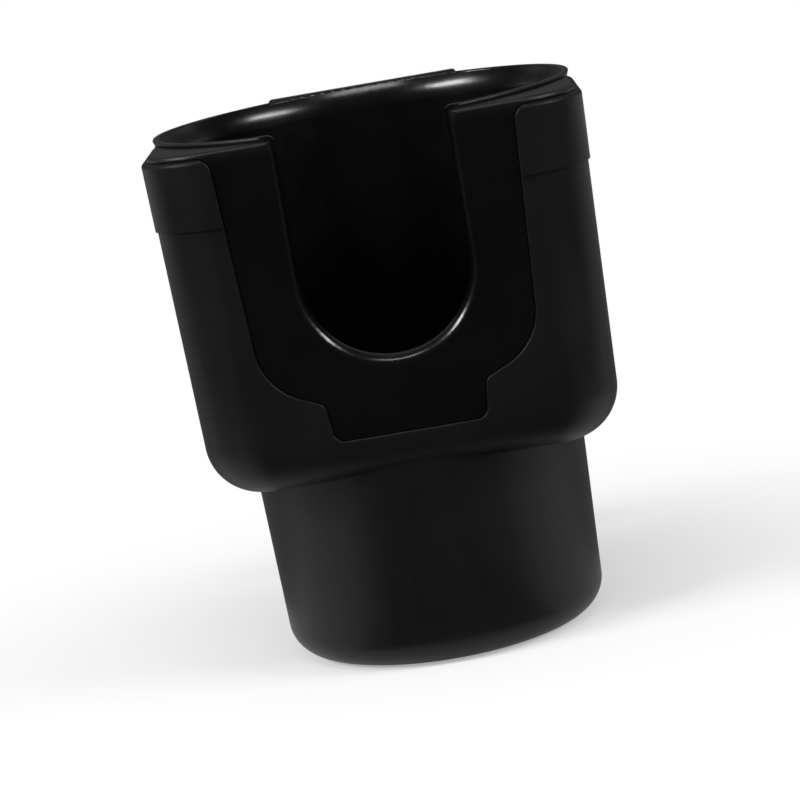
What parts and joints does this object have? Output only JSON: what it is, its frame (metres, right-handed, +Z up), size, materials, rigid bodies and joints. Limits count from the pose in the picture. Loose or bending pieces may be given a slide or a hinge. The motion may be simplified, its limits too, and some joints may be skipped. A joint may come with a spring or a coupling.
{
  "type": "vent cup holder",
  "caption": "Vehicle air-vent drink holder: squarish upper body with a U-shaped handle slot over a round tapered base, glossy inner cup, rear vane clamp and folding support foot.",
  "frame": {"origin": "centre of the round base, on the surface the holder stands on", "axes": "+Z up, -Y towards the user with the handle slot, +Y towards the vent with the clip, +X to the slot side's right"},
  "size_m": [0.0928, 0.1278, 0.118],
  "materials": {
    "shell_matte": "fine-grained black moulding",
    "liner_gloss": "polished black moulding",
    "clip_matte": "satin black moulding",
    "hook_metal": "black coated steel",
    "rubber": "soft black rubber",
    "steel": "plain steel"
  },
  "bodies": {
    "holder": {"outer_shell": "shell_matte", "inner_liner": "liner_gloss", "mount_plate": "clip_matte", "hub_washer": "steel", "arm_pin": "steel", "plate_screw_1": "steel", "plate_screw_2": "steel", "plate_screw_3": "steel", "plate_screw_4": "steel"},
    "clip": {"swivel_hub": "clip_matte", "hub_screw": "steel", "clip_body": "clip_matte", "body_pad": "rubber"},
    "collar": {"collar_nut": "clip_matte"},
    "wheel": {"thumb_nut": "clip_matte"},
    "jaw": {"hook": "hook_metal", "hook_pad": "rubber"},
    "arm": {"support_arm": "clip_matte", "foot_pin": "steel"},
    "foot": {"foot": "clip_matte", "foot_pad": "rubber"}
  },
  "joints": [
    {"name": "clip_turn", "type": "hinge", "parent": "holder", "child": "clip", "pos_m": [0, 0.054, 0.092], "axis": [0, 1, 0], "range_deg": [-90, 90]},
    {"name": "collar_turn", "type": "hinge", "parent": "holder", "child": "collar", "pos_m": [0, 0.054, 0.092], "axis": [0, 1, 0], "range_deg": [0, 60]},
    {"name": "nut_turn", "type": "hinge", "parent": "clip", "child": "wheel", "pos_m": [0, 0.067, 0.0872], "axis": [0, 1, 0], "range_deg": [-540, 540]},
    {"name": "hook_slide", "type": "slide", "parent": "clip", "child": "jaw", "axis": [0, 1, 0], "range_m": [-0.003, 0.003]},
    {"name": "arm_fold", "type": "hinge", "parent": "holder", "child": "arm", "pos_m": [0, 0.05649, 0.062], "axis": [1, 0, 0], "range_deg": [0, 80]},
    {"name": "foot_tilt", "type": "hinge", "parent": "arm", "child": "foot", "pos_m": [0, 0.05649, 0.025], "axis": [1, 0, 0], "range_deg": [-20, 20]}
  ],
  "couplings": [
    {"joint": "nut_turn", "follows": "hook_slide", "rad_per_m": 3141.6}
  ]
}
